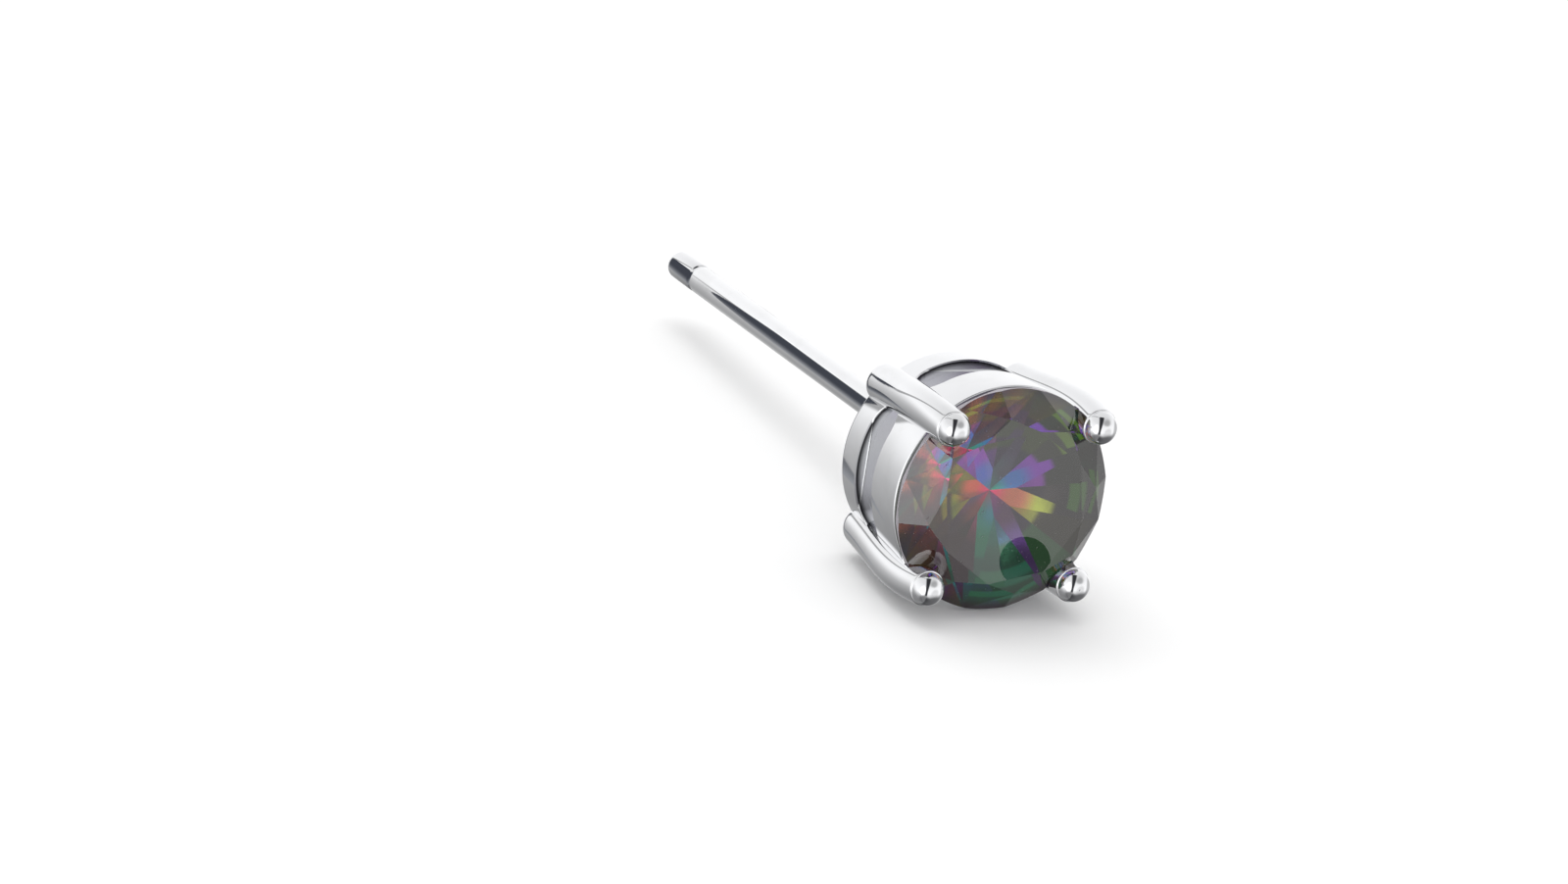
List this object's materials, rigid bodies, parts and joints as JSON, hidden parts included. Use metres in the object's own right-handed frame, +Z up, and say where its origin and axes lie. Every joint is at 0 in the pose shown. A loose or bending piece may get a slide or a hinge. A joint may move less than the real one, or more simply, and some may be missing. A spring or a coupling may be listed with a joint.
{
  "type": "stud earring",
  "caption": "Stud earring: a round faceted stone held by claws in a slotted, tapering metal cup, on a straight post with a rounded, grooved end.",
  "frame": {"origin": "centre of the bounding box's base, on the surface that the stud lies on", "axes": "+Z up, the post points to +Y and the stone's table to -Y, +X to the right seen from the table"},
  "size_m": [0.005, 0.0168, 0.005],
  "materials": {
    "polished_silver": "mirror polished white metal, plated silver",
    "coated_stone": "clear cut stone with a dark rainbow coating on its pavilion"
  },
  "bodies": {
    "root": {"setting": "polished_silver", "stone": "coated_stone"}
  },
  "joints": []
}
